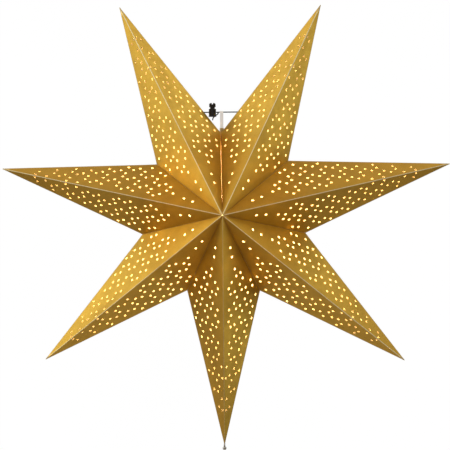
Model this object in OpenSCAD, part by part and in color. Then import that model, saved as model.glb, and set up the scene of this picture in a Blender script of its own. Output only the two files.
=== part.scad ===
// Seven-point paper star lantern, hung from its drawstring.
// The star faces -Y. The origin is the middle of the drawstring, where a hook takes it.
// Each point is one folded sheet of card: two facets in front, two behind, and four
// glue flaps turned into its open side. Neighbours are glued flap to flap. The top
// seam stays open, and the drawstring with its cord lock holds it together.

/* [Star] */
// Distance from the centre of the star to a point's sharp tip
tip_r = 277; // [250:1:300]
// Distance from the centre to the notch between two points
notch_r = 101; // [96:1:110]
// Distance from the middle plane to the front apex, or to the back one
half_depth = 83; // [76:1:90]
// Thickness of the card
card_t = 0.4; // [0.3:0.05:0.5]
// Angle left open at the top seam, between the first and the last point
seam_deg = 1; // [0.6:0.1:1.6]
// Length by which each tip falls short of the sharp one
tip_cut = 1.8; // [1.4:0.1:2]
// Width of the opening where the ridges meet
apex_open_d = 2.4; // [1.6:0.2:4]

/* [Glue flaps] */
// Width of a flap
flap_w = 7.5; // [5:0.5:8]
// Length of valley left without a flap beside each apex
flap_start = 10; // [6:1:16]
// Space between the front and the back flap at the notch
flap_gap = 1; // [0.6:0.1:1.4]

/* [Punched holes] */
// Diameter of a hole
hole_d = 3.1; // [2.4:0.1:3.4]
// Distance between groups of four holes along a row
group_pitch = 40.9; // [38:0.1:44]
// Distance from the apex to the first group of the even rows, along the ridge
even_row_x = 78.2; // [76:0.2:80]
// Distance from the apex to the first group of the odd rows, along the ridge
odd_row_x = 99.2; // [97:0.2:101]
// Distance from the ridge to the first row
row_y = 10.8; // [10:0.2:12]
// Distance between rows
row_pitch = 9.9; // [9.4:0.1:11]
// How fast the rows close in towards the tip, as a share of their distance per mm
row_fan = 0.0009; // [0:0.0001:0.0015]
// Least distance from a hole's centre to the side fold of its facet
fold_margin = 4; // [3:0.1:6]
// Least distance from a hole's centre to the valley
valley_margin = 4.5; // [4:0.5:8]
// Distance from the apex to the start of the full pattern, along the ridge
pattern_start = 85; // [82:1:92]

/* [Drawstring] */
// Thickness of the cord
cord_d = 1.4; // [1.2:0.1:1.5]
// Height of the cord over the notch
cord_rise = 23; // [22:0.5:26]
// Distance of the cord behind the star's middle plane
cord_back = 3; // [2.6:0.1:3.4]
// Diameter of the knots inside the two top points
knot_d = 3.4; // [2.8:0.1:3.6]
// Space between a knot and the card that it pulls on
knot_gap = 0.2; // [0.1:0.05:0.3]
// Clearance round the cord in the holes that it passes through
cord_gap = 0.15; // [0.1:0.05:0.25]
// Space between the two strands that pass through the lock
strand_gap = 0.1; // [0.1:0.05:0.2]
// Length of the right cord's cut end, beyond the lock
stub_len = 1.5; // [1:0.5:3]

/* [Cord lock] */
// Distance of the lock to the left of the hook's place
lock_x = 11; // [9:0.5:11.5]
// Outer diameter of the lock's barrel
barrel_d = 8.6; // [8.4:0.1:9]
// Height of the barrel over the cord
barrel_over = 4; // [3.6:0.1:4.4]
// Depth of the barrel under the cord
barrel_under = 5.4; // [5.4:0.1:6]
// Thickness of the barrel's floor
barrel_floor = 0.8; // [0.6:0.1:0.8]
// Diameter of the barrel's foot
foot_d = 9.4; // [9:0.1:10]
// Height of the foot
foot_h = 1; // [0.8:0.1:1.4]
// Diameter of the plunger's stem
stem_d = 5.6; // [5.4:0.1:5.8]
// Running clearance between stem and barrel, on the radius
stem_gap = 0.08; // [0.05:0.01:0.1]
// Thickness of the stem's end under the cord
stem_end = 0.8; // [0.6:0.1:0.8]
// Travel of the plunger when it is pressed
plunger_travel = 1.6; // [1.2:0.1:1.6]
// Space left over the barrel when the plunger is pressed
head_gap = 0.4; // [0.3:0.1:0.6]
// Diameter of the plunger's head
head_d = 7.8; // [7.2:0.1:8.2]
// Height of the plunger's head
head_h = 5.2; // [4.4:0.1:5.6]
// Width of the slot across the head
head_slot_w = 1.6; // [1.2:0.1:2]
// Depth of that slot
head_slot_h = 1.8; // [1.2:0.1:2.2]
// Wire thickness of the spring
spring_wire = 0.3; // [0.25:0.05:0.35]
// Mean diameter of the spring
spring_d = 4.2; // [4:0.1:4.4]
// Number of turns of the spring
spring_turns = 3; // [2:0.5:3.5]

/* [Lamp strap] */
// Width of the strap
strap_w = 3.9; // [3.4:0.1:4.4]
// Thickness of the strap
strap_t = 0.8; // [0.6:0.1:1]
// Length of the loop from the cord to the eye of the lampholder
strap_len = 50; // [49:0.5:54]
// Clearance round the strap in the notch of the card
strap_gap = 0.5; // [0.3:0.1:0.8]

/* [Lampholder] */
// Diameter of the bar in the eye
eye_bar_d = 1.5; // [1.3:0.1:1.5]
// Height of the bar over the cap
eye_rise = 4; // [3.5:0.5:5]
// Thickness of the two posts that carry the bar
post_t = 1.6; // [1.4:0.1:2]
// Depth of the posts, front to back
post_w = 5; // [4:0.5:6]
// Space between the strap and each post
post_gap = 0.6; // [0.4:0.1:1]
// Outer diameter of the cap
cap_d = 28; // [27:0.5:30]
// Height of the cap
cap_h = 20; // [19:0.5:22]
// Radius of the cap's rounded shoulder
cap_round = 5; // [4:0.5:6]
// Diameter of the hole for a supply cable in the cap's side
inlet_d = 6; // [5:0.5:6.5]
// Outer diameter of the sleeve below the cap
sleeve_d = 27; // [26:0.5:27]
// Length of the sleeve below the cap
sleeve_len = 26; // [24:0.5:28]
// Wall of the cap and of the sleeve
holder_wall = 1.8; // [1.5:0.1:2]
// Length of the sleeve's neck inside the cap
neck_len = 7; // [6:0.5:8]
// Assembly clearance between the holder's parts, on the radius
holder_gap = 0.1; // [0.05:0.05:0.15]
// Height of the block that carries the contacts
block_h = 6; // [5:0.5:7]
// Inner diameter of the screw shell
shell_d = 14.4; // [14.2:0.1:14.6]
// Thickness of the screw shell's sheet
shell_t = 0.5; // [0.4:0.1:0.6]
// Length of the screw shell
shell_len = 16; // [14:0.5:17]
// Diameter of the centre contact's button
button_d = 5; // [4:0.2:6]
// Thickness of the button
button_h = 1; // [0.8:0.1:1.4]
// Diameter of the centre contact's stem
contact_d = 2; // [1.6:0.1:2.4]

/* [Bulb] */
// Diameter of the globe
globe_d = 45; // [42:1:48]
// Length of the bulb
bulb_len = 76; // [74:0.5:80]
// Diameter of the screw base
base_d = 13.8; // [13.5:0.1:14]
// Length of the screw base
base_len = 17; // [16:0.5:18]
// Diameter of the bulb's collar under the base
collar_d = 16; // [15:0.5:18]
// Space between the bulb's tip and the centre contact
tip_gap = 0.2; // [0.1:0.1:0.3]

/* [Tip finial] */
// Diameter of the ball under the bottom point
ball_d = 4.6; // [4:0.2:5.2]
// Distance from the sharp tip to the ball's centre
ball_drop = 2.6; // [2.2:0.1:3]
// Diameter of the ball's neck
ball_neck_d = 2; // [1.8:0.1:2.2]
// Length of the bottom tip that is cut off for the neck
neck_cut = 3.2; // [3.1:0.1:3.6]
// Diameter of the pin that holds the ball
pin_d = 0.6; // [0.5:0.05:0.6]
// Clearance round the pin, on the radius
pin_gap = 0.05; // [0.05:0.01:0.08]
// Depth of the pin in the neck
pin_seat = 2.5; // [2:0.1:3]
// Distance from the sharp tip to the stop on the pin's inner end
stop_in = 8.6; // [8.6:0.1:10]
// Diameter of the stop
stop_d = 2; // [1.6:0.1:2]

/* [Hidden] */
$fn = 64;

gold = "#b98a34";
point_count = 7;
bottom_point = 3;
sector = (360 - seam_deg) / point_count;
half_sector = sector / 2;
star_z = -(notch_r + cord_rise);

// A point has its own frame: x runs out along the point, y to the back, z across.
// Its facets lie in the planes  plane_x * x + plane_y * |y| + plane_z * |z| = plane_d.
notch_x = notch_r * cos(half_sector);
notch_z = notch_r * sin(half_sector);
slope = [1 / tip_r, 1 / half_depth, (1 - notch_x / tip_r) / notch_z];
plane_d = 1 / norm(slope);
plane_x = slope[0] * plane_d;
plane_y = slope[1] * plane_d;
plane_z = slope[2] * plane_d;

// A facet laid flat: x along the ridge from the apex, y across it to the side fold
ridge_len = norm([tip_r, half_depth]);
corner_x = (notch_x * tip_r + half_depth * half_depth) / ridge_len;
corner_y = sqrt(notch_r * notch_r + half_depth * half_depth - corner_x * corner_x);
hole_sides = 8;
// One group of four holes zigzags along its row
hole_group = [[0, 0], [7.8, 4], [14.3, -0.9], [22, 2.6]];
// Three single holes lead from the apex to the pattern
lead_holes = [[43, 14], [55, 16.5], [71, 21.5]];
// Groups, counted from the apex, whose raised holes also stand beside the ridge
ridge_groups = [2, 3];
// Slant of the pattern's start across the facet
start_slant = 0.3;
// Distance along the ridge at which the rows have their stated spacing
fan_x = 130;
last_row = 6;
last_group = 5;

strand_y = cord_d + strand_gap;
lock_y = strand_y / 2;
passage_h = cord_d + 2 * cord_gap;
passage_w = passage_h + strand_y;
lock_top = barrel_over;
head_low = lock_top + plunger_travel + head_gap;
stem_low = -passage_h / 2 - stem_end;
floor_top = -barrel_under + barrel_floor;

loop_in = cord_d / 2 + strand_gap;
loop_out = loop_in + strap_t;

cap_top = -strap_len - eye_rise;
cap_low = cap_top - cap_h;
block_top = cap_low;
block_low = block_top - block_h;
shell_out_d = shell_d + 2 * shell_t;
button_low = block_low - shell_t - button_h;
bulb_top = button_low - tip_gap;
globe_z = bulb_top - bulb_len + globe_d / 2;

// Turns a point's frame to its place in the star, counted clockwise from the top seam
module at_point(i) {
    translate([0, -cord_back, star_z])
        rotate([0, point_angle(i), 0])
            children();
}

function point_angle(i) = -(90 - seam_deg / 2 - sector * (i + 0.5));
function row_start(row) = row % 2 == 0 ? even_row_x : odd_row_x;
function row_place(row, x, rise) = (row_y + row * row_pitch + rise) * (1 - row_fan * (x - fan_x));
function fold_dist(p) = ((ridge_len - p[0]) * corner_y - p[1] * (ridge_len - corner_x))
    / norm([ridge_len - corner_x, corner_y]);
function valley_dist(p) = (p[0] * corner_y - p[1] * corner_x) / norm([corner_x, corner_y]);
function in_pattern(p) = fold_dist(p) >= fold_margin && valley_dist(p) >= valley_margin
    && p[0] + start_slant * p[1] >= pattern_start;

row_holes = [
    for (row = [0 : last_row])
        for (group = [-1 : last_group])
            for (step = hole_group)
                let (x = row_start(row) + group * group_pitch + step[0])
                let (p = [x, row_place(row, x, step[1])])
                if (in_pattern(p)) p
];
ridge_holes = [
    for (group = ridge_groups)
        for (step = [hole_group[1], hole_group[3]])
            let (x = odd_row_x + group * group_pitch + step[0])
            [x, row_place(-1, x, step[1])]
];
holes = concat(row_holes, ridge_holes, lead_holes);

// Draws on a front facet: x along the ridge, y across it, z out of the card
module on_front_facet(side) {
    along = [tip_r, half_depth, 0] / ridge_len;
    out = [plane_x, -plane_y, side * plane_z];
    across = cross(out, along);
    multmatrix([
        [along[0], across[0], out[0], 0],
        [along[1], across[1], out[1], -half_depth],
        [along[2], across[2], out[2], 0],
        [0, 0, 0, 1]
    ]) children();
}

// The pattern is punched in the front facets
module facet_punches() {
    for (side = [-1, 1])
        on_front_facet(side)
            for (p = holes)
                translate([p[0], side * p[1], -2 * card_t])
                    cylinder(d = hole_d, h = 3 * card_t, $fn = hole_sides);
}

module outer_form() {
    polyhedron(
        points = [
            [tip_r, 0, 0],
            [0, -half_depth, 0],
            [0, half_depth, 0],
            [notch_x, 0, notch_z],
            [notch_x, 0, -notch_z]
        ],
        faces = [[0, 1, 3], [0, 4, 1], [0, 3, 2], [0, 2, 4], [3, 1, 2], [4, 2, 1]]
    );
}

// The hollow is a slim pyramid, one card inside the facets and open at the centre
module inner_form() {
    past = notch_r / 4;
    reach = plane_d - card_t + plane_x * past;
    polyhedron(
        points = [
            [(plane_d - card_t) / plane_x, 0, 0],
            [-past, -reach / plane_y, 0],
            [-past, 0, reach / plane_z],
            [-past, reach / plane_y, 0],
            [-past, 0, -reach / plane_z]
        ],
        faces = [[0, 1, 2], [0, 2, 3], [0, 3, 4], [0, 4, 1], [4, 3, 2, 1]]
    );
}

// The front flap on the seam's plane: x out from the centre, y to the back
module flap_shape() {
    along = [notch_r, half_depth] / norm([notch_r, half_depth]);
    inward = [-along[1], along[0]];
    start = [0, -half_depth] + along * flap_start;
    end = [notch_r * (1 - flap_gap / 2 / half_depth), -flap_gap / 2];
    mitre = flap_w * notch_r / half_depth;
    polygon([
        start,
        end,
        end - along * mitre + inward * flap_w,
        start + (along + inward) * flap_w
    ]);
}

module glue_flaps() {
    for (side = [0, 1])
        for (back = [0, 1])
            mirror([0, 0, side])
                rotate([0, -half_sector, 0])
                    mirror([0, back, 0])
                        translate([0, 0, -card_t])
                            linear_extrude(card_t) flap_shape();
}

module folded_sheet(cut) {
    difference() {
        union() {
            difference() {
                outer_form();
                inner_form();
            }
            glue_flaps();
        }
        translate([tip_r - cut, -tip_r / 2, -tip_r / 2]) cube(tip_r);
        rotate([90, 0, 0]) cylinder(d = apex_open_d, h = 3 * half_depth, center = true);
        facet_punches();
    }
}

module point(i) {
    color(gold) at_point(i) folded_sheet(tip_cut);
}

// The bottom tip is cut shorter and has a hole for the finial's pin
module point_with_pin() {
    color(gold) at_point(bottom_point) difference() {
        folded_sheet(neck_cut);
        translate([tip_r - stop_in, 0, 0]) rotate([0, 90, 0])
            cylinder(d = pin_d + 2 * pin_gap, h = stop_in);
    }
}

// Height over the star's centre at which the cord enters the top points, and how
// far from the middle it meets the card when it runs at y behind the hook's place
cord_h = notch_r + cord_rise;
top_angle = -point_angle(0);
wall_run = plane_z * sin(top_angle) - plane_x * cos(top_angle);
wall_rise = plane_x * sin(top_angle) + plane_z * cos(top_angle);
function wall_x(y) = (cord_h * wall_rise + (cord_back + y) * plane_y - plane_d) / wall_run;
function knot_x(y) = wall_x(y) + (card_t + knot_gap + knot_d / 2) / wall_run;

// A top point has a hole for the cord, and its corner at the notch is cut for the strap
module top_point(i, side, y) {
    cut_w = strap_w + 2 * strap_gap;
    cut_y = 2 * (loop_out + strap_gap);
    flap_end = flap_w * norm([notch_r, half_depth]) / half_depth;
    cut_h = (cord_back + cut_y / 2) * notch_r / half_depth + flap_end + 2 * strap_gap;
    color(gold) difference() {
        at_point(i) folded_sheet(tip_cut);
        translate([side * wall_x(y), y, 0]) rotate([0, 90, 0])
            cylinder(d = cord_d + 2 * cord_gap, h = 2 * knot_d, center = true);
        translate([-cut_w / 2, -cut_y / 2, star_z + notch_r - cut_h])
            cube([cut_w, cut_y, cut_h + strap_w]);
    }
}

// A round tube through a list of points, with a diameter for each point
module swept_cord(route, dias, sides) {
    last = len(route) - 1;
    dirs = [for (i = [0 : last]) unit(route[min(i + 1, last)] - route[max(i - 1, 0)])];
    rings = [
        for (i = [0 : last])
            let (u = unit(cross(dirs[i], [0.3, 0.8, 0.5])), v = cross(dirs[i], u))
            for (k = [0 : sides - 1])
                route[i] + dias[i] / 2 * (u * cos(360 * k / sides) + v * sin(360 * k / sides))
    ];
    sides_faces = [
        for (i = [0 : last - 1])
            for (k = [0 : sides - 1])
                let (n = (k + 1) % sides)
                for (f = [
                    [i * sides + k, (i + 1) * sides + k, i * sides + n],
                    [i * sides + n, (i + 1) * sides + k, (i + 1) * sides + n]
                ]) f
    ];
    first_end = [for (k = [0 : sides - 1]) k];
    last_end = [for (k = [sides - 1 : -1 : 0]) last * sides + k];
    polyhedron(points = rings, faces = concat(sides_faces, [first_end, last_end]));
}

function unit(v) = v / norm(v);

// The right cord runs from its knot through the lock and ends as a stub
module drawstring_right() {
    stub_x = -lock_x - barrel_d / 2 - stub_len;
    color("#1c1c1c") {
        translate([stub_x, 0, 0]) rotate([0, 90, 0])
            cylinder(d = cord_d, h = knot_x(0) - stub_x);
        translate([knot_x(0), 0, 0]) sphere(d = knot_d);
    }
}

// The left cord runs behind it, and its free end hangs down behind the lock.
// The route of the free end starts at the lock's right side. The knot is a swelling of
// the tube, with rings at these angles from its far end to where it is as thin as the cord.
free_end = [
    [0, 0, 0], [1, 0, 0], [2, 0.6, -0.3], [2.4, 2, -1.1], [1.6, 3.7, -2.2],
    [-0.2, 5, -3.4], [-2.2, 5.6, -4.9], [-3.8, 5.6, -6.8], [-4.4, 5.4, -9.2]
];
module drawstring_left() {
    exit_x = -lock_x + barrel_d / 2;
    knot = [-knot_x(strand_y), strand_y, 0];
    tail = [for (p = free_end) p + [exit_x, strand_y, 0]];
    knot_rings = 7;
    first_ring = 18;
    ring_step = (180 - asin(cord_d / knot_d) - first_ring) / (knot_rings - 1);
    angles = [for (i = [0 : knot_rings - 1]) first_ring + i * ring_step];
    color("#1c1c1c") swept_cord(
        concat([for (a = angles) knot - [knot_d / 2 * cos(a), 0, 0]], tail),
        concat([for (a = angles) knot_d * sin(a)], [for (p = tail) cord_d]),
        12
    );
}

// The slot that both strands pass through, along X, raised by extra at its top
module cord_passage(length, extra) {
    translate([-length / 2, -passage_w / 2, -passage_h / 2])
        cube([length, passage_w, passage_h + extra]);
}

module at_lock() {
    translate([-lock_x, lock_y, 0]) children();
}

module cord_lock_barrel() {
    color("#202020") at_lock() difference() {
        union() {
            translate([0, 0, -barrel_under]) cylinder(d = barrel_d, h = barrel_under + barrel_over);
            translate([0, 0, -barrel_under]) cylinder(d = foot_d, h = foot_h);
        }
        translate([0, 0, floor_top]) cylinder(d = stem_d + 2 * stem_gap, h = barrel_d * 2);
        cord_passage(foot_d + 2, 0);
    }
}

module cord_lock_plunger() {
    stem_top = head_low + head_h / 2;
    shoulder = head_h / 4;
    color("#282828") at_lock() difference() {
        union() {
            translate([0, 0, stem_low]) cylinder(d = stem_d, h = stem_top - stem_low);
            translate([0, 0, head_low]) rotate_extrude() hull() {
                square([head_d / 2, head_h - shoulder]);
                square([head_d / 2 - shoulder, head_h]);
            }
        }
        cord_passage(head_d, plunger_travel);
        translate([-head_slot_w / 2, -head_d, head_low + head_h - head_slot_h])
            cube([head_slot_w, 2 * head_d, head_h]);
    }
}

// The spring stands on the barrel's floor and pushes the plunger up
module cord_lock_spring() {
    steps = 16;
    rise = stem_low - floor_top - spring_wire;
    turns = spring_turns;
    coil = [
        for (i = [0 : steps * turns])
            let (a = 360 * i / steps)
            [spring_d / 2 * cos(a), spring_d / 2 * sin(a), rise * i / steps / turns]
    ];
    color("#9a9a9a") at_lock() translate([0, 0, floor_top + spring_wire / 2])
        swept_cord(coil, [for (p = coil) spring_wire], 8);
}

// The strap loops over the right cord and through the eye of the lampholder
module lamp_strap() {
    color("#e8e8e6") translate([-strap_w / 2, 0, 0]) rotate([90, 0, 90]) linear_extrude(strap_w)
        difference() {
            stadium(loop_out);
            stadium(loop_in);
        }
}

module stadium(r) {
    circle(r);
    translate([-r, -strap_len]) square([2 * r, strap_len]);
    translate([0, -strap_len]) circle(r);
}

module lampholder_cap() {
    post_x = strap_w / 2 + post_gap;
    post_top = eye_rise + eye_bar_d;
    color("#f2f1ec") {
        difference() {
            translate([0, 0, cap_low]) rotate_extrude() {
                square([cap_d / 2, cap_h - cap_round]);
                square([cap_d / 2 - cap_round, cap_h]);
                translate([cap_d / 2 - cap_round, cap_h - cap_round]) circle(cap_round);
            }
            translate([0, 0, cap_low - 1])
                cylinder(d = cap_d - 2 * holder_wall, h = cap_h - cap_round + 1);
            translate([0, 0, cap_low])
                cylinder(d = cap_d - 2 * cap_round, h = cap_h - holder_wall);
            translate([0, 0, cap_top - cap_round - inlet_d / 2]) rotate([0, 90, 0])
                cylinder(d = inlet_d, h = cap_d);
        }
        for (side = [-1, 1])
            translate([side * (post_x + post_t / 2), 0, cap_top + (post_top - holder_wall) / 2])
                cube([post_t, post_w, post_top + holder_wall], center = true);
        translate([0, 0, cap_top + eye_rise]) rotate([0, 90, 0])
            cylinder(d = eye_bar_d, h = 2 * post_x + post_t, center = true);
    }
}

module lampholder_sleeve() {
    neck_out = cap_d / 2 - holder_wall - holder_gap;
    neck_in = neck_out - holder_wall;
    color("#f2f1ec") translate([0, 0, cap_low]) rotate_extrude() difference() {
        union() {
            translate([0, -sleeve_len]) square([sleeve_d / 2, sleeve_len]);
            square([neck_out, neck_len]);
        }
        translate([0, -sleeve_len - 1]) square([neck_in, sleeve_len + neck_len + 2]);
    }
}

module contact_block() {
    bore = cap_d / 2 - 2 * holder_wall - holder_gap;
    color("#d9d4c8") difference() {
        translate([0, 0, block_low]) cylinder(r = bore - holder_gap, h = block_h);
        translate([0, 0, block_low - 1]) cylinder(d = contact_d + 2 * holder_gap, h = block_h + 2);
    }
}

module screw_shell() {
    color("#c9a24a") difference() {
        translate([0, 0, block_low - shell_len]) cylinder(d = shell_out_d, h = shell_len);
        translate([0, 0, block_low - shell_len - shell_t]) cylinder(d = shell_d, h = shell_len);
        translate([0, 0, block_low - 2 * shell_t])
            cylinder(d = button_d + 4 * holder_gap, h = 3 * shell_t);
    }
}

// The button faces the bulb's tip, and its stem is held by the block
module centre_contact() {
    color("#c9a24a") {
        translate([0, 0, button_low]) cylinder(d = button_d, h = button_h + shell_t);
        translate([0, 0, block_low]) cylinder(d = contact_d, h = block_h);
    }
}

// A cone joins the globe to the collar and leaves the globe at a tangent
module bulb() {
    globe_r = globe_d / 2;
    collar_r = collar_d / 2;
    collar_y = bulb_len - globe_r - base_len;
    tangent = atan2(collar_y, collar_r) - acos(globe_r / norm([collar_r, collar_y]));
    turn = 90 + tangent;
    steps = 24;
    globe = [
        for (i = [0 : steps])
            globe_r * [sin(turn * i / steps), -cos(turn * i / steps)]
    ];
    color("#f6f3ea") translate([0, 0, globe_z]) rotate_extrude()
        polygon(concat(globe, [
            [collar_r, collar_y],
            [base_d / 2, collar_y],
            [base_d / 2, collar_y + base_len],
            [0, collar_y + base_len]
        ]));
}

module tip_finial() {
    neck_top = tip_r - neck_cut;
    ball_x = tip_r + ball_drop;
    color("#8f8f8c") at_point(bottom_point) difference() {
        union() {
            translate([ball_x, 0, 0]) sphere(d = ball_d);
            translate([neck_top, 0, 0]) rotate([0, 90, 0])
                cylinder(d = ball_neck_d, h = ball_x - neck_top);
        }
        translate([neck_top - 1, 0, 0]) rotate([0, 90, 0])
            cylinder(d = pin_d + 2 * pin_gap, h = pin_seat + 1);
    }
}

module tip_pin() {
    color("#9c9c98") at_point(bottom_point) {
        translate([tip_r - stop_in, 0, 0]) {
            sphere(d = stop_d);
            rotate([0, 90, 0]) cylinder(d = pin_d, h = stop_in - neck_cut + pin_seat);
        }
    }
}

top_point(0, 1, 0);  // point_upper_right
point(1);  // point_right
point(2);  // point_lower_right
point_with_pin();  // point_bottom
point(4);  // point_lower_left
point(5);  // point_left
top_point(6, -1, strand_y);  // point_upper_left
drawstring_right();
drawstring_left();
cord_lock_barrel();
cord_lock_plunger();
cord_lock_spring();
lamp_strap();
lampholder_cap();
lampholder_sleeve();
contact_block();
screw_shell();
centre_contact();
bulb();
tip_finial();
tip_pin();
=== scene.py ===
"""Paper star lantern: card, cords, lamp and studio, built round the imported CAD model.

Every piece is made in metres in the CAD's own frame. The star faces -Y, and the origin is
the middle of the drawstring, where a hook takes it.
"""

import math
from itertools import product
from types import SimpleNamespace

import bpy
from bpy.props import FloatProperty, FloatVectorProperty, PointerProperty
from mathutils import Matrix, Vector, noise
from mathutils.geometry import delaunay_2d_cdt


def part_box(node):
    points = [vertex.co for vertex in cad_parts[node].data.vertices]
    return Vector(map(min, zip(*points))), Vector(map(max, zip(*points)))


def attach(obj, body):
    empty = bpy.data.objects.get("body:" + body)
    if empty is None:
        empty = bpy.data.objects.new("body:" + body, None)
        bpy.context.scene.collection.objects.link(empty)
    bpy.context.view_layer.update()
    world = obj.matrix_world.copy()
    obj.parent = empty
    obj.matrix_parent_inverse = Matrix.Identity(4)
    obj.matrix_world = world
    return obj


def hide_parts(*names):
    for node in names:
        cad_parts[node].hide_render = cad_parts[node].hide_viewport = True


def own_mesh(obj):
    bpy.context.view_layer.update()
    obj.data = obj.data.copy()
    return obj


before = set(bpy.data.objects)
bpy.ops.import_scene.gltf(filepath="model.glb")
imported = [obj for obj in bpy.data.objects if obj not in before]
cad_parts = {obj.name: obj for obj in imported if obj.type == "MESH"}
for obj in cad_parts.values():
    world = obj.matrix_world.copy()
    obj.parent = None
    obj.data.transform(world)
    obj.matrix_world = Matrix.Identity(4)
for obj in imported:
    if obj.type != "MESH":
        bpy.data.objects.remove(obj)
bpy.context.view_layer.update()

bl_info = {
    "name": "Paper Star Lantern",
    "version": (1, 0, 0),
    "blender": (4, 5, 0),
    "location": "View3D > Sidebar > Lantern",
    "description": "Builds a folded and punched card star with its cord, lamp and studio",
    "category": "Add Mesh",
}

MM = 0.001
# Room round the cord in its holes and round the strap in its notch
CORD_CLEAR, STRAP_CLEAR = 0.00015, 0.0005
# Where the cutters of the cord's holes start and end, from the middle
CORD_HOLE_SPAN = (0.014, 0.036)
STAR_BODY = "star"
PLUNGER_BODY = "plunger"
POINTS = ("upper_right", "right", "lower_right", "bottom", "lower_left", "left", "upper_left")


# Settings


def length(name, text, default, low=0.0, high=1.0):
    return FloatProperty(
        name=name, description=text, default=default, min=low, max=high, unit="LENGTH",
        subtype="DISTANCE", precision=5,
    )


def colour(name, text, default):
    return FloatVectorProperty(
        name=name, description=text, default=default, min=0.0, max=1.0, size=3, subtype="COLOR",
    )


def angle(name, text, degrees):
    return FloatProperty(
        name=name, description=text, default=math.radians(degrees), subtype="ANGLE"
    )


def watts(name, text, default):
    return FloatProperty(name=name, description=text + " softbox, in watts", default=default)


class CardSettings(bpy.types.PropertyGroup):
    """Sizes of the folded card and of its punched pattern."""

    tip_reach: length("Tip reach", "From the star's centre to a sharp tip", 0.277)
    notch_reach: length("Notch reach", "From the centre to the notch between points", 0.101)
    half_depth: length("Half depth", "From the middle plane to the front apex", 0.083)
    card: length("Card", "Thickness of the card", 0.0004)
    seam: angle("Seam", "Angle left open at the top seam", 1.0)
    tip_trim: length("Tip trim", "How far each tip falls short of the sharp one", 0.0018)
    neck_trim: length("Neck trim", "Length cut off the bottom tip for its bead", 0.0032)
    apex_hole: length("Apex opening", "Opening where the ridges meet", 0.0008)
    flap: length("Flap", "Width of a glue flap", 0.0075)
    flap_start: length("Flap start", "Valley without a flap beside the apex", 0.010)
    flap_gap: length("Flap gap", "Space between front and back flap", 0.001)
    hole: length("Hole", "Diameter of a punched hole", 0.0031)
    fold_round: length("Fold rounding", "Flat width of card that rounds a fold", 0.0006)
    bow: length("Bow", "How far a facet bows between its folds", 0.0006)
    gold: colour("Gold", "Colour of the coated side", (0.56, 0.325, 0.038))
    pale_gold: colour("Pale gold", "Colour of the coating's light grains", (0.70, 0.48, 0.13))
    # The pale colour of the folds: worn coating plus a painted highlight along the ridges
    worn_highlight_gold: colour("Worn gold", "Colour of the worn ridges", (0.98, 0.86, 0.52))
    inside: colour("Inside", "Colour of the uncoated side", (0.94, 0.90, 0.80))


class CordSettings(bpy.types.PropertyGroup):
    """Sizes and colours of the drawstring and its lock."""

    cord: length("Cord", "Thickness of the drawstring", 0.0014)
    strand_gap: length("Strand gap", "Space between strands in the lock", 0.0001)
    lock_offset: length("Lock offset", "From the hook's place to the lock", 0.011)
    barrel: length("Barrel", "Diameter of the lock's barrel", 0.0086)
    head: length("Head", "Diameter of the plunger's head", 0.0078)
    stem: length("Stem", "Diameter of the plunger's stem", 0.0056)
    black: colour("Black", "Colour of cord and lock", (0.006, 0.006, 0.0065))


class LampSettings(bpy.types.PropertyGroup):
    """Sizes, colours and light of the lamp."""

    globe: length("Globe", "Diameter of the bulb's globe", 0.045)
    base: length("Base", "Diameter of the bulb's screw base", 0.0138)
    base_height: length("Base height", "Length of the screw base", 0.017)
    thread_pitch: length("Thread pitch", "Rise of the base's thread in a turn", 0.0028)
    strap_width: length("Strap width", "Width of the lamp's strap", 0.0039)
    strap_thickness: length("Strap thickness", "Thickness of the strap", 0.0008)
    glow: colour("Glow", "Colour of the light", (1.0, 0.66, 0.30))
    power: FloatProperty(
        name="Power", description="Brightness of the globe", default=30.0, min=0.0
    )


class StageSettings(bpy.types.PropertyGroup):
    """Camera and lights."""

    distance: length("Distance", "From the camera to the star", 2.2, 0.5, 10.0)
    azimuth: angle("Azimuth", "Camera's turn about the star", 1.0)
    elevation: angle("Elevation", "Camera's height as an angle", 0.58)
    roll: angle("Roll", "Camera's tilt", -0.52)
    lens: FloatProperty(name="Lens", description="Focal length in millimetres", default=146.69)
    key: watts("Key", "Left", 6.7)
    high_left: watts("High left", "Upper left", 3.5)
    high_right: watts("High right", "Upper right", 4.1)
    fill: watts("Fill", "Right", 3.9)
    softbox_tint: colour("Softbox tint", "Colour of the softboxes", (0.91, 1.0, 0.96))
    room_tint: colour("Room tint", "Colour of the room's warm light", (1.0, 0.87, 0.76))
    room_high: FloatVectorProperty(
        name="Room, right, back, top", description="Room light from the right, the back and above",
        default=(0.19, 0.05, 0.72),
    )
    room_low: FloatVectorProperty(
        name="Room, left, front, below",
        description="Room light from the left, the front and below", default=(0.51, 0.36, 0.0),
    )


# Mesh helpers


def new_object(name, data):
    """An object with this data, in the scene."""
    obj = bpy.data.objects.new(name, data)
    bpy.context.scene.collection.objects.link(obj)
    return obj


def tidy_mesh(name, verts, faces, materials=(), indices=None, sharp_deg=38):
    """A mesh object with smooth faces whose edges are sharp where it turns more than that."""
    mesh = bpy.data.meshes.new(name)
    mesh.from_pydata([tuple(v) for v in verts], [], [tuple(f) for f in faces])
    for material in materials:
        mesh.materials.append(material)
    if indices is not None:
        mesh.polygons.foreach_set("material_index", indices)
    mesh.validate()
    shade(mesh, sharp_deg)
    return new_object(name, mesh)


def shade(mesh, sharp_deg):
    """Smooth faces, with sharp edges where they turn more than sharp_deg."""
    mesh.polygons.foreach_set("use_smooth", [True] * len(mesh.polygons))
    mesh.set_sharp_from_angle(angle=math.radians(sharp_deg))
    mesh.update()


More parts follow.
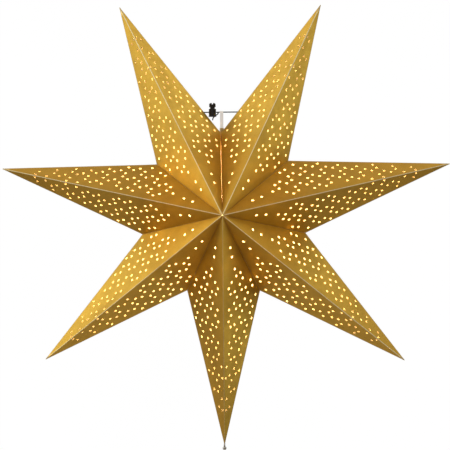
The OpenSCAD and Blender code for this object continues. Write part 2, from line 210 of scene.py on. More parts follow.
def turned(profile, centre, segments=48, turn=None):
    """Vertices and faces of a profile of (radius, height) turned about Z at centre."""
    verts, rings = [], []
    for radius, height in profile:
        if radius < 1e-7:
            rings.append([len(verts)])
            verts.append((0.0, 0.0, height))
        else:
            rings.append(list(range(len(verts), len(verts) + segments)))
            for k in range(segments):
                a = 2 * math.pi * k / segments
                r = radius if turn is None else radius + turn(a, height, radius)
                verts.append((r * math.cos(a), r * math.sin(a), height))
    faces = []
    for low, high in zip(rings, rings[1:]):
        for k in range(segments):
            n = (k + 1) % segments
            if len(low) == 1 and len(high) == 1:
                continue
            if len(low) == 1:
                faces.append((low[0], high[n], high[k]))
            elif len(high) == 1:
                faces.append((low[k], low[n], high[0]))
            else:
                faces.append((low[k], low[n], high[n], high[k]))
    return [Vector(v) + Vector(centre) for v in verts], faces


def arc(centre, radius, start, sweep, steps):
    """Points along an arc, both ends with it."""
    angles = [start + sweep * k / steps for k in range(steps + 1)]
    return [(centre[0] + radius * math.cos(a), centre[1] + radius * math.sin(a)) for a in angles]


def rounded(profile, corners, radius, steps=5):
    """The profile with an arc in place of each named corner."""
    out = []
    for i, point in enumerate(profile):
        p = Vector(point)
        if i not in corners:
            out.append(tuple(p))
            continue
        a, b = Vector(profile[i - 1]) - p, Vector(profile[i + 1]) - p
        reach = min(radius, a.length * 0.49, b.length * 0.49)
        start, end = p + a.normalized() * reach, p + b.normalized() * reach
        for k in range(steps + 1):
            t = k / steps
            out.append(tuple(start * (1 - t) ** 2 + p * 2 * t * (1 - t) + end * t * t))
    return out


def block(low, high):
    """A box as an object, to cut with."""
    verts = list(product(*zip(low, high)))
    faces = [(0, 1, 3, 2), (4, 6, 7, 5), (0, 4, 5, 1), (2, 3, 7, 6), (0, 2, 6, 4), (1, 5, 7, 3)]
    return tidy_mesh("cutter", verts, faces)


def rod(start, end, radius, segments=24):
    """A round bar from start to end as an object, to cut with."""
    axis = Vector(end) - Vector(start)
    profile = [(0, 0), (radius, 0), (radius, axis.length), (0, axis.length)]
    verts, faces = turned(profile, (0, 0, 0), segments)
    spin = axis.to_track_quat("Z", "Y").to_matrix()
    return tidy_mesh("cutter", [spin @ v + Vector(start) for v in verts], faces)


def cut_away(obj, cutters, sharp_deg=38):
    """Cuts the cutters out of obj, and removes them."""
    for cutter in cutters:
        step = obj.modifiers.new("cut", "BOOLEAN")
        step.operation, step.solver, step.object = "DIFFERENCE", "EXACT", cutter
    bpy.context.view_layer.update()
    shown = obj.evaluated_get(bpy.context.evaluated_depsgraph_get())
    mesh = bpy.data.meshes.new_from_object(shown)
    if len(mesh.polygons) == 0:
        raise RuntimeError(f"nothing is left of {obj.name} after its cuts")
    obj.modifiers.clear()
    old, obj.data = obj.data, mesh
    mesh.name = obj.name
    bpy.data.meshes.remove(old)
    for cutter in cutters:
        mesh_of = cutter.data
        bpy.data.objects.remove(cutter)
        bpy.data.meshes.remove(mesh_of)
    shade(mesh, sharp_deg)


def smooth_route(points, step):
    """A smooth line through the points, in steps of about that length."""
    pts = [Vector(p) for p in points]
    ends = [pts[0] * 2 - pts[1], *pts, pts[-1] * 2 - pts[-2]]
    line = []
    for a, b, c, d in zip(ends, ends[1:], ends[2:], ends[3:]):
        n = max(1, round((c - b).length / step))
        for k in range(n):
            t = k / n
            square, cube = 2 * a - 5 * b + 4 * c - d, 3 * b - a - 3 * c + d
            line.append(0.5 * (2 * b + (c - a) * t + square * t**2 + cube * t**3))
    return [*line, pts[-1]]


# How far a tube's rounded end stands out, as a share of its radius
END_BULGE = 0.35


def tube(name, line, radius, sides, material, relief=None, ends=True):
    """A round tube along the line. relief(turn, distance) scales its radius."""
    verts, faces, reach = [], [], 0.0
    u = None
    for i, p in enumerate(line):
        ahead = (line[min(i + 1, len(line) - 1)] - line[max(i - 1, 0)]).normalized()
        if u is None:
            u = ahead.orthogonal().normalized()
        u = (u - ahead * u.dot(ahead)).normalized()
        v = ahead.cross(u)
        if i:
            reach += (p - line[i - 1]).length
        for k in range(sides):
            a = 2 * math.pi * k / sides
            r = radius * (1 if relief is None else relief(a, reach))
            verts.append(p + (u * math.cos(a) + v * math.sin(a)) * r)
    for i in range(len(line) - 1):
        for k in range(sides):
            n = (k + 1) % sides
            faces.append((i * sides + k, i * sides + n, (i + 1) * sides + n, (i + 1) * sides + k))
    if ends:
        last = len(line) - 1
        for row, order in ((0, -1), (last, 1)):
            ring = [row * sides + k for k in range(sides)]
            middle = len(verts)
            outward = (line[row] - line[1 if row == 0 else last - 1]).normalized()
            verts.append(line[row] + outward * radius * END_BULGE)
            for k in range(sides):
                pair = (ring[k], ring[(k + 1) % sides])
                faces.append((*pair[::order], middle))
    return tidy_mesh(name, verts, faces, [material], sharp_deg=60)


def recoat(node, material):
    """Gives a piece of the CAD, as it is, its finish."""
    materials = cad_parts[node].data.materials
    materials.clear()
    materials.append(material)


def finish_piece(obj, body, slot, *nodes):
    """Puts a finished piece on its body and in place of its CAD nodes."""
    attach(obj, body)
    if nodes:
        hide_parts(*nodes)


# Materials


def feed(tree, source, target):
    """Links a node's output to a socket, or sets an even value there."""
    if isinstance(source, bpy.types.NodeSocket):
        tree.links.new(source, target)
    else:
        target.default_value = (*source, 1.0) if target.type == "RGBA" else source


class Finish:
    """A node material. Even values go on the shader's own sockets."""

    def __init__(self, name, **sockets):
        self.material = bpy.data.materials.new(name)
        self.material.use_nodes = True
        self.tree = self.material.node_tree
        self.shader = self.tree.nodes["Principled BSDF"]
        for socket, value in sockets.items():
            self.shader.inputs[socket.replace("_", " ")].default_value = value
        self.place = self.node("ShaderNodeTexCoord").outputs["Object"]

    def node(self, kind, sockets=None, **values):
        made = self.tree.nodes.new(kind)
        for key, value in values.items():
            setattr(made, key, value)
        for socket, value in (sockets or {}).items():
            made.inputs[socket].default_value = value
        return made

    def link(self, source, target):
        self.tree.links.new(source, target)

    def grain(self, scale, detail=2.0):
        """Noise with features of about 1 / scale metres."""
        sockets = {"Scale": scale, "Detail": detail, "Roughness": 0.5}
        made = self.node("ShaderNodeTexNoise", sockets)
        self.link(self.place, made.inputs["Vector"])
        return made.outputs["Fac"]

    def ramp(self, source, stops):
        made = self.node("ShaderNodeValToRGB")
        ends = made.color_ramp.elements
        while len(ends) < len(stops):
            ends.new(0.5)
        for end, (at, tint) in zip(ends, stops):
            end.position = at
            end.color = (*tint, 1.0)
        self.link(source, made.inputs["Fac"])
        return made.outputs["Color"]

    def spread(self, source, low, high, start=0.3, end=0.7):
        sockets = {"From Min": start, "From Max": end, "To Min": low, "To Max": high}
        made = self.node("ShaderNodeMapRange", sockets)
        self.link(source, made.inputs["Value"])
        return made.outputs["Result"]

    def math(self, operation, first, second):
        made = self.node("ShaderNodeMath", operation=operation)
        feed(self.tree, first, made.inputs[0])
        feed(self.tree, second, made.inputs[1])
        return made.outputs[0]

    def mix(self, factor, first, second):
        made = self.node("ShaderNodeMix", data_type="RGBA")
        self.link(factor, made.inputs["Factor"])
        feed(self.tree, first, made.inputs["A"])
        feed(self.tree, second, made.inputs["B"])
        return made.outputs["Result"]

    def bump(self, height, distance, strength=1.0):
        made = self.node("ShaderNodeBump", {"Strength": strength, "Distance": distance})
        self.link(height, made.inputs["Height"])
        self.link(made.outputs["Normal"], self.shader.inputs["Normal"])

    def paint(self, source):
        self.link(source, self.shader.inputs["Base Color"])


def shades(tint, spread):
    """A colour a little darker and a little lighter."""
    return tuple(c * (1 - spread) for c in tint), tuple(min(1.0, c * (1 + spread)) for c in tint)


def gold_card_finish(settings):
    """Metallic gold coating, pale where the fold attribute says: worn coating plus painted
    highlight.
    """
    f = Finish("gold_card")
    dark, light = shades(settings.gold, 0.07)
    mottle = f.ramp(f.grain(55.0, 3.0), [(0.35, dark), (0.65, light)])
    fine = f.grain(1500.0, 1.0)
    grained = f.mix(f.spread(fine, 0.0, 0.28), mottle, tuple(settings.pale_gold))
    worn_and_lit = f.node("ShaderNodeAttribute", attribute_name="fold_wear").outputs["Fac"]
    worn_and_lit = f.math("MULTIPLY", worn_and_lit, f.spread(f.grain(420.0, 2.0), 0.7, 1.0))
    f.paint(f.mix(worn_and_lit, grained, tuple(settings.worn_highlight_gold)))
    f.link(f.spread(worn_and_lit, 1.0, 0.2, 0.0, 1.0), f.shader.inputs["Metallic"])
    rough = f.spread(f.grain(140.0, 3.0), 0.40, 0.50)
    f.link(rough, f.shader.inputs["Roughness"])
    f.bump(fine, 0.00004, 0.35)
    return f.material


def card_inside_finish(settings):
    """The card's uncoated side."""
    f = Finish("card_inside", Roughness=0.86)
    dark, light = shades(settings.inside, 0.04)
    f.paint(f.ramp(f.grain(900.0, 3.0), [(0.3, dark), (0.7, light)]))
    f.bump(f.grain(1100.0, 3.0), 0.00005, 0.5)
    return f.material


def card_edge_finish(settings):
    """Bare fibres at cut edges and round the holes."""
    f = Finish("card_cut_edge", Roughness=0.9)
    dark, light = shades(tuple(0.86 * c for c in settings.inside), 0.10)
    f.paint(f.ramp(f.grain(3200.0, 3.0), [(0.3, dark), (0.7, light)]))
    f.bump(f.grain(2600.0, 2.0), 0.00006, 0.6)
    return f.material


def plain_finish(
    name, tint, rough, grain=900.0, depth=0.00003, metallic=0.0, spread=0.06, **sockets
):
    """Moulded or turned stuff: a tint with fine variation, uneven gloss and grain."""
    f = Finish(name, Metallic=metallic, **sockets)
    dark, light = shades(tint, spread)
    f.paint(f.ramp(f.grain(grain * 0.3, 3.0), [(0.35, dark), (0.65, light)]))
    uneven = f.spread(f.grain(grain * 0.5, 2.0), rough * 0.85, min(1.0, rough * 1.15))
    f.link(uneven, f.shader.inputs["Roughness"])
    f.bump(f.grain(grain, 2.0), depth, 0.5)
    return f.material


def strap_finish():
    """White tape woven from fine threads, with a painted glow: an even emission, as if lit from
    behind.
    """
    # The emission is a painted glow, not a lamp
    f = Finish(
        "white_tape", Roughness=0.85, Sheen_Weight=0.3, Emission_Strength=0.32,
        Emission_Color=(1, 1, 0.98, 1),
    )
    heights = []
    for direction in ("X", "Z"):
        sockets = {"Scale": 480.0, "Distortion": 0.4}
        threads = f.node("ShaderNodeTexWave", sockets, bands_direction=direction)
        threads.wave_type, threads.wave_profile = "BANDS", "SIN"
        f.link(f.place, threads.inputs["Vector"])
        heights.append(threads.outputs["Fac"])
    weave = f.math("MULTIPLY", *heights)
    f.paint(f.ramp(weave, [(0.0, (0.86, 0.86, 0.85)), (0.6, (0.97, 0.97, 0.96))]))
    f.bump(weave, 0.00008, 0.8)
    return f.material


def cord_finish(settings):
    """Matte black braid."""
    f = Finish("black_braid", Roughness=0.85, Specular_IOR_Level=0.25)
    dark, light = shades(settings.black, 0.5)
    f.paint(f.ramp(f.grain(3500.0, 2.0), [(0.35, dark), (0.7, light)]))
    f.bump(f.grain(5200.0, 2.0), 0.00005, 0.7)
    return f.material


def opal_finish(settings):
    """A lit opal globe, a little uneven."""
    f = Finish("opal_globe", Roughness=0.35, Emission_Strength=settings.power)
    f.paint(f.ramp(f.grain(260.0, 2.0), [(0.3, (0.86, 0.83, 0.76)), (0.7, (0.92, 0.90, 0.84))]))
    warm = tuple(settings.glow)
    deep = tuple(c * s for c, s in zip(warm, (0.86, 0.80, 0.72)))
    lit = f.ramp(f.grain(36.0, 1.0), [(0.3, deep), (0.7, warm)])
    f.link(lit, f.shader.inputs["Emission Color"])
    return f.material


# Stage

# What the camera looks at, from the star's centre
CAMERA_AIM = (0.0029, 0.0, -0.0115)
# Softboxes: name, place from the star's centre, width and height, and its setting
SOFTBOXES = (
    ("softbox_left", (-1.35, -0.15, 0.25), (0.9, 0.9), "key"),
    ("softbox_high_left", (-1.05, 0.15, 1.10), (0.9, 0.9), "high_left"),
    ("softbox_high_right", (1.05, 0.15, 1.10), (0.9, 0.9), "high_right"),
    ("softbox_right", (1.4, 0.0, -0.15), (0.8, 1.0), "fill"),
)
FLOOR_RADIUS, FLOOR_HEIGHT = 1.4, -1.6
BACKDROP_RADIUS, BACKDROP_RINGS = 12, 24


def add_area(name, place, aim, size, power, tint):
    data = bpy.data.lights.new(name, "AREA")
    data.shape, data.energy, data.color = "RECTANGLE", power, tint
    data.size, data.size_y = size
    lamp = new_object(name, data)
    lamp.location = place
    lamp.rotation_mode = "QUATERNION"
    lamp.rotation_quaternion = (Vector(aim) - Vector(place)).to_track_quat("-Z", "Y")
    lamp.visible_camera = False


def add_camera(stage, centre):
    data = bpy.data.cameras.new("camera")
    data.lens, data.sensor_width, data.sensor_fit = stage.lens, 36.0, "AUTO"
    data.clip_start, data.clip_end = 0.05, 60.0
    camera = new_object("camera", data)
    aim = centre + Vector(CAMERA_AIM)
    az, el = stage.azimuth, stage.elevation
    away = Vector((math.sin(az) * math.cos(el), -math.cos(az) * math.cos(el), math.sin(el)))
    right = (-away).cross(Vector((0, 0, 1))).normalized()
    up = right.cross(-away)
    c, s = math.cos(stage.roll), math.sin(stage.roll)
    right, up = right * c + up * s, up * c - right * s
    turn = Matrix((right, up, away)).transposed().to_4x4()
    camera.matrix_world = Matrix.Translation(aim + away * stage.distance) @ turn
    bpy.context.scene.camera = camera


def camera_only(obj):
    """A backdrop that the camera sees and that neither lights nor shades the star."""
    for ray in ("diffuse", "glossy", "transmission", "volume_scatter", "shadow"):
        setattr(obj, "visible_" + ray, False)


def build_room(stage):
    """The room's soft light, with its own strength from each of six sides."""
    world = bpy.data.worlds.new("room")
    bpy.context.scene.world = world
    world.use_nodes = True
    tree = world.node_tree
    toward = tree.nodes.new("ShaderNodeTexCoord").outputs["Generated"]

    def vector(operation, first, second):
        made = tree.nodes.new("ShaderNodeVectorMath")
        made.operation = operation
        feed(tree, first, made.inputs[0])
        feed(tree, second, made.inputs[1])
        return made.outputs["Value" if operation == "DOT_PRODUCT" else "Vector"]

    high = vector("MULTIPLY", vector("MAXIMUM", toward, (0, 0, 0)), tuple(stage.room_high))
    low = vector("MULTIPLY", vector("MINIMUM", toward, (0, 0, 0)), tuple(stage.room_low))
    strength = vector("DOT_PRODUCT", vector("ADD", high, low), toward)
    tree.links.new(strength, tree.nodes["Background"].inputs["Strength"])
    tree.nodes["Background"].inputs["Color"].default_value = (*stage.room_tint, 1.0)


class LANTERN_OT_stage(bpy.types.Operator):
    """Set up the camera, the lights, the floor and the white backdrop"""

    bl_idname = "lantern.stage"
    bl_label = "Stage"

    def execute(self, context):
        scene, stage = context.scene, context.scene.lantern_stage
        scene.view_settings.view_transform = "Standard"
        scene.cycles.diffuse_bounces = 10
        centre = star_centre(star_form(scene.lantern_card))
        add_camera(stage, centre)
        build_room(stage)
        tint = tuple(stage.softbox_tint)
        for name, place, size, setting in SOFTBOXES:
            power = getattr(stage, setting)
            add_area(name, centre + Vector(place), centre, size, power, tint)
        disc = [(FLOOR_RADIUS * k / 2, 0.0) for k in range(3)]
        verts, faces = turned(disc, (0, 0, FLOOR_HEIGHT), 96)
        boards = plain_finish("pale_floor", (0.80, 0.80, 0.79), 0.7, 60.0, 0.0004, spread=0.015)
        floor = tidy_mesh("floor", verts, faces, [boards])
        shell = arc((0, 0), BACKDROP_RADIUS, -math.pi / 2, math.pi, BACKDROP_RINGS)
        verts, faces = turned(shell, (0, 0, 0), 48)
        paper = Finish(
            "white_backdrop", Roughness=1.0, Emission_Strength=1.0, Base_Color=(0, 0, 0, 1)
        )
        soft = paper.ramp(paper.grain(0.5), [(0.3, (0.994, 0.994, 0.994)), (0.7, (1.0, 1.0, 1.0))])
        paper.link(soft, paper.shader.inputs["Emission Color"])
        backdrop = tidy_mesh("backdrop", verts, faces, [paper.material])
        camera_only(backdrop)
        return {"FINISHED"}


# Card points

# How far this star's own folds stand from true, across and up, in millimetres
TIP_SWAY = ((-1.5, 4.0), (4.0, -0.5), (2.0, -3.5), (0.0, 0.0), (0.5, 1.0), (4.5, -1.5), (0.0, 3.5))
NOTCH_SWAY = (
    (-1.0, -1.0), (0.0, 2.5), (1.0, 1.0), (0.5, 0.5), (0.5, 1.5), (2.0, 1.0), (1.0, -0.5)
)
APEX_SWAY = (1.5, 0.5)
# The sides of the two top points at the open seam
OPEN_SEAM_SIDES = ((0, 1), (6, -1))
# Where that seam is shut and where it is open, along the valley, and its lap where shut
SEAM_SHUT_TO, SEAM_OPEN_FROM, SEAM_LAP = 14.0, 26.0, 0.02
# How far the flaps there lean across the seam, as a share of it
FLAP_LEAN = 0.85
# How pale each point's ridge is painted: worn coating, plus a painted highlight that is weaker on
# the lower points, which catch less light
RIDGE_WEAR_AND_HIGHLIGHT = (1.0, 1.0, 0.9, 0.25, 0.6, 1.0, 1.0)

# The punched pattern, in millimetres on a flat facet: along the ridge, and across from it
HOLE_GROUP = ((0.0, 0.0), (7.8, 4.0), (14.3, -0.9), (22.0, 2.6))
LEAD_HOLES = ((43.0, 14.0), (55.0, 16.5), (71.0, 21.5))
RIDGE_GROUPS = (2, 3)
GROUP_PITCH = 40.9
EVEN_ROW_START, ODD_ROW_START = 78.2, 99.2
FIRST_ROW, ROW_PITCH, ROW_FAN, FAN_FROM = 10.8, 9.9, 0.0009, 130.0
FOLD_MARGIN, VALLEY_MARGIN = 4.0, 4.5
PATTERN_START, START_SLANT = 85.0, 0.3
ROWS, GROUPS = range(0, 7), range(-1, 6)

HOLE_SIDES = 18
# The mesh of a facet: steps along its folds and across its middle, and what it keeps clear
STATION_STEP = 9.0
GRID_STEP, GRID_START = 8.5, 3.0
FOLD_CLEAR, HOLE_CLEAR = 2.8, 1.2
# A fold's inner side bends over this many widths of its outer side
INNER_FOLD = 1.6
# Length over which a fold's rounding fades out at its ends
RIDGE_END, EDGE_END = 6, 4
# How pale the back ridges, side folds and valleys are painted: worn coating plus a painted
# highlight
BACK_WEAR_AND_HIGHLIGHT, EDGE_WEAR_AND_HIGHLIGHT, VALLEY_WEAR_AND_HIGHLIGHT = 0.5, 0.35, 0.1
# How fast a facet's bow fades towards its folds, and the two waves that it is made of
BOW_FADE = 12.0
BOW_WAVES = ((0.016, 1.6), (0.045, 0.5))


def star_form(card):
    """The star's derived sizes in millimetres. A point's frame is x out, y back, z across."""
    tip, notch, half = card.tip_reach / MM, card.notch_reach / MM, card.half_depth / MM
    seam = math.degrees(card.seam)
    sector = (360 - seam) / len(POINTS)
    a = math.radians(sector / 2)
    notch_x, notch_z = notch * math.cos(a), notch * math.sin(a)
    slope = Vector((1 / tip, 1 / half, (1 - notch_x / tip) / notch_z))
    plane = slope / slope.length
    ridge = math.hypot(tip, half)
    corner_x = (notch_x * tip + half * half) / ridge
    corner_y = math.sqrt(notch * notch + half * half - corner_x * corner_x)
    return SimpleNamespace(
        tip=tip, notch=notch, half=half, seam=seam, sector=sector, half_sector=a, notch_x=notch_x,
        notch_z=notch_z, plane=plane, ridge=ridge, corner=Vector((corner_x, corner_y)),
        valley=math.hypot(corner_x, corner_y), card=card.card / MM, tip_trim=card.tip_trim / MM,
        neck_trim=card.neck_trim / MM, apex_r=card.apex_hole / 2 / MM, flap=card.flap / MM,
        flap_start=card.flap_start / MM,
        flap_end=math.hypot(corner_x, corner_y) * (1 - card.flap_gap / 2 / card.half_depth),
        hole_r=card.hole / 2 / MM, round=card.fold_round / MM, bow=card.bow / MM,
    )


def star_centre(form):
    """The star's middle in the row frame, in metres, from the CAD points' own box."""
    low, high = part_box("point_bottom")
    return Vector((0.0, (low.y + high.y) / 2, low.z + (form.tip - form.neck_trim) * MM))


def axis_angle(form, index):
    """Direction in which a point stands, anticlockwise from the right."""
    return math.radians(90 - form.seam / 2 - form.sector * (index + 0.5))


def line_distance(p, start, end):
    """Signed distance of p to the left of the line from start to end."""
    d = end - start
    return (d.x * (p[1] - start.y) - d.y * (p[0] - start.x)) / d.length


def facet_lines(form):
    """Apex, tip and notch of a flat facet."""
    apex, tip, corner = Vector((0, 0)), Vector((form.ridge, 0)), form.corner
    return apex, tip, corner


def hole_places(form):
    """Centres of the holes on a flat facet."""
    apex, tip, corner = facet_lines(form)

    def place(row, x, rise):
        return (FIRST_ROW + row * ROW_PITCH + rise) * (1 - ROW_FAN * (x - FAN_FROM))

    found = []
    for row in ROWS:
        start = EVEN_ROW_START if row % 2 == 0 else ODD_ROW_START
        for group in GROUPS:
            for along, rise in HOLE_GROUP:
                x = start + group * GROUP_PITCH + along
                p = (x, place(row, x, rise))
                if (
                    line_distance(p, tip, corner) >= FOLD_MARGIN
                    and line_distance(p, corner, apex) >= VALLEY_MARGIN
                    and p[0] + START_SLANT * p[1] >= PATTERN_START
                ):
                    found.append(p)
    for group in RIDGE_GROUPS:
        for along, rise in (HOLE_GROUP[1], HOLE_GROUP[3]):
            x = ODD_ROW_START + group * GROUP_PITCH + along
            found.append((x, place(-1, x, rise)))
    return [*found, *LEAD_HOLES]


def stations(start, end):
    """Even places from start to end."""
    count = max(1, round((end - start) / STATION_STEP))
    return [start + (end - start) * i / count for i in range(count + 1)]


def valley_stations(form):
    return stations(form.flap_start + 2, form.flap_end - 2)


def row_offsets(form):
    """Rows of points beside a fold."""
    return (0.5 * form.round, form.round, INNER_FOLD * form.round)


class FlatSheet:
    """Points and lines of a flat pattern, triangulated with its holes left open."""

    def __init__(self):
        self.points, self.edges, self.holes = [], [], []

    def add_line(self, points, closed=False):
        first = len(self.points)
        self.points.extend(Vector(p) for p in points)
        count = len(points)
        for k in range(count if closed else count - 1):
            self.edges.append((first + k, first + (k + 1) % count))

    def add_rows(self, origin, along, inward, places, offsets):
        for off in offsets:
            self.add_line([origin + along * u + inward * off for u in places])

    def triangles(self):
        verts, _, faces, *_ = delaunay_2d_cdt(self.points, self.edges, [], 0, 1e-5)
        kept = []
        for face in faces:
            middle = sum((verts[i] for i in face), Vector((0, 0))) / 3
            a, b, c = (verts[i] for i in face)
            area = abs((b - a).cross(c - a)) / 2
            if area < 1e-7:
                continue
            if any((middle - h).length < r for h, r in self.holes):
                continue
            kept.append(tuple(face))
        return verts, kept


def flat_facet(form, trim, holes):
    """The flat pattern of one facet: ridge along x, side fold and valley above it."""
    apex, tip, corner = facet_lines(form)
    sheet = FlatSheet()
    ridge_start = form.apex_r * form.ridge / form.tip
    ridge_end = form.ridge * (form.tip - trim) / form.tip
    fold_dir = (corner - tip).normalized()
    fold_len = (corner - tip).length
    fold_start = fold_len * trim / (form.tip - form.notch_x)
    valley_dir = corner.normalized()
    valley_start = form.apex_r * form.valley / form.notch
    ridge_places = stations(ridge_start + 5, ridge_end - 10)
    fold_places = stations(fold_start + 10, fold_len - 3)
    valley_places = valley_stations(form)
    outline = [Vector((s, 0)) for s in (ridge_start, *ridge_places, ridge_end)]
    outline += [tip + fold_dir * u for u in (fold_start, *fold_places)]
    down = (form.valley, form.flap_end, *reversed(valley_places), form.flap_start, valley_start)
    outline += [valley_dir * v for v in down]
    sheet.add_line(outline, closed=True)
    offsets = row_offsets(form)
    sheet.add_rows(apex, Vector((1, 0)), Vector((0, 1)), ridge_places, offsets)
    sheet.add_rows(tip, fold_dir, Vector((fold_dir.y, -fold_dir.x)) * -1, fold_places, offsets)
    sheet.add_rows(apex, valley_dir, Vector((valley_dir.y, -valley_dir.x)), valley_places, offsets)
    for p in holes:
        centre = Vector(p)
        ring = [
            centre + form.hole_r * Vector((math.cos(a), math.sin(a)))
            for a in (2 * math.pi * k / HOLE_SIDES for k in range(HOLE_SIDES))
        ]
        sheet.add_line(ring, closed=True)
        sheet.holes.append((centre, form.hole_r))
    row, y = 0, GRID_START
    while y < corner.y:
        x = GRID_STEP * (0.5 if row % 2 else 0.0)
        while x < form.ridge:
            p = Vector((x, y))
            clear = min(line_distance(p, tip, corner), line_distance(p, corner, apex), y)
            reach = form.hole_r + HOLE_CLEAR
            if clear > FOLD_CLEAR and all((p - h).length > reach for h, _ in sheet.holes):
                sheet.points.append(p)
            x += GRID_STEP
        y += GRID_STEP * 0.866
        row += 1
    return sheet.triangles()


def flat_flap(form):
    """The flat pattern of a glue flap: along the valley, and in from it."""
    mitre = form.flap * form.notch / form.half
    sheet = FlatSheet()
    places = valley_stations(form)
    edge = [Vector((v, 0)) for v in (form.flap_start, *places, form.flap_end)]
    back = stations(form.flap_end - mitre, form.flap_start + form.flap)
    inner = [Vector((v, form.flap)) for v in back]
    sheet.add_line(edge + inner, closed=True)
    sheet.add_rows(Vector((0, 0)), Vector((1, 0)), Vector((0, 1)), places, row_offsets(form))
    return sheet.triangles()


class Skin:
    """Collects facets and flaps of one point, and joins them where they share a fold."""

    def __init__(self):
        self.keys = {}
        self.outer, self.inner, self.sway, self.wear, self.count = [], [], [], [], []
        self.triangles = []

    def vertex(self, sharp, outer, inner, sway, wear):
        key = tuple(round(c, 3) for c in sharp)
        if key not in self.keys:
            self.keys[key] = len(self.outer)
            self.outer.append(Vector())
            self.inner.append(Vector())
            self.sway.append(Vector())
            self.wear.append(0.0)
            self.count.append(0)
        i = self.keys[key]
        self.outer[i] += outer
        self.inner[i] += inner
        self.sway[i] += sway
        self.wear[i] = max(self.wear[i], wear)
        self.count[i] += 1
        return i

    def add(self, verts, faces, normal):
        """verts are the arguments of vertex; faces are turned to face along the normal."""
        index = [self.vertex(*v) for v in verts]
        for a, b, c in faces:
            pa, pb, pc = verts[a][0], verts[b][0], verts[c][0]
            if (pb - pa).cross(pc - pa).dot(normal) < 0:
                b, c = c, b
            found = (index[a], index[b], index[c])
            if len(set(found)) == 3:
                self.triangles.append(found)

    def rim(self):
        """Edges that only one triangle uses, in its own order."""
        used = {}
        for t in self.triangles:
            for a, b in zip(t, (*t[1:], t[0])):
                used[(a, b)] = used.get((a, b), 0) + 1
        return [e for e in used if (e[1], e[0]) not in used]


def fold_turn(first, second):
    """Angle between two unit normals."""
    return math.acos(max(-1.0, min(1.0, first.dot(second))))


def fold_shifts(form, gap, end, n, other, inward):
    """How the fold between two faces moves the outer and the inner side near it."""
    turn, w = fold_turn(n, other), form.round
    fade = max(0.0, min(1.0, end))
    outer, inner = Vector((0, 0, 0)), Vector((0, 0, 0))
    if gap < w:
        sink = 0.5 * w * math.sin(turn / 2) * (1 - gap / w) ** 2 * fade
        outer = (n + other).normalized() * -sink
    if gap < INNER_FOLD * w:
        close = 1 - gap / (INNER_FOLD * w)
        inner = inward * form.card * math.tan(turn / 2) * close * fade
    return outer, inner, fade


